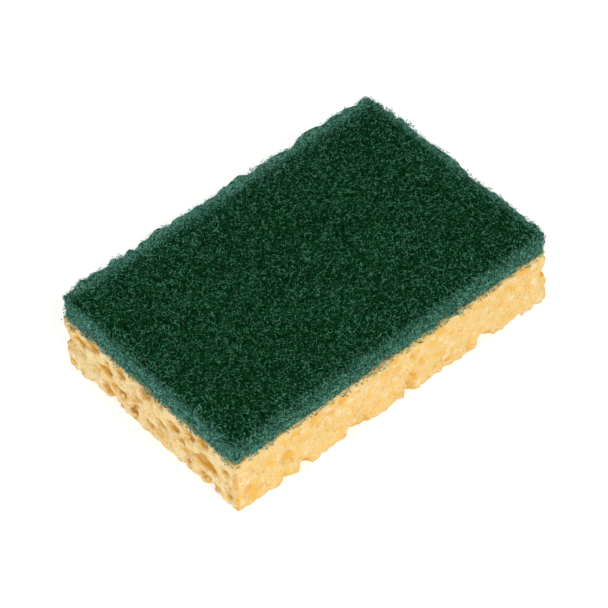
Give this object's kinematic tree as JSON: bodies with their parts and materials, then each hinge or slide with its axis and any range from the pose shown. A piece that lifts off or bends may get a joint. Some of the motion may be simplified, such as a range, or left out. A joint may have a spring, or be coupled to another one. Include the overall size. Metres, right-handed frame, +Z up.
{
  "type": "cleaning sponge",
  "caption": "Rectangular cellulose cleaning sponge with a green non-woven scouring pad bonded to its top face.",
  "frame": {"origin": "centre of the sponge's outer box, on the underside it rests on", "axes": "+Z up through both layers, +X along the length, +Y across the width"},
  "size_m": [0.13, 0.085, 0.032],
  "materials": {
    "cellulose": "pale yellow open-pored cellulose, matte, darker in the pores",
    "scouring_web": "dark green non-woven fibre web, coarse and matte"
  },
  "bodies": {
    "root": {"cellulose_block": "cellulose", "scouring_pad": "scouring_web"}
  },
  "joints": []
}
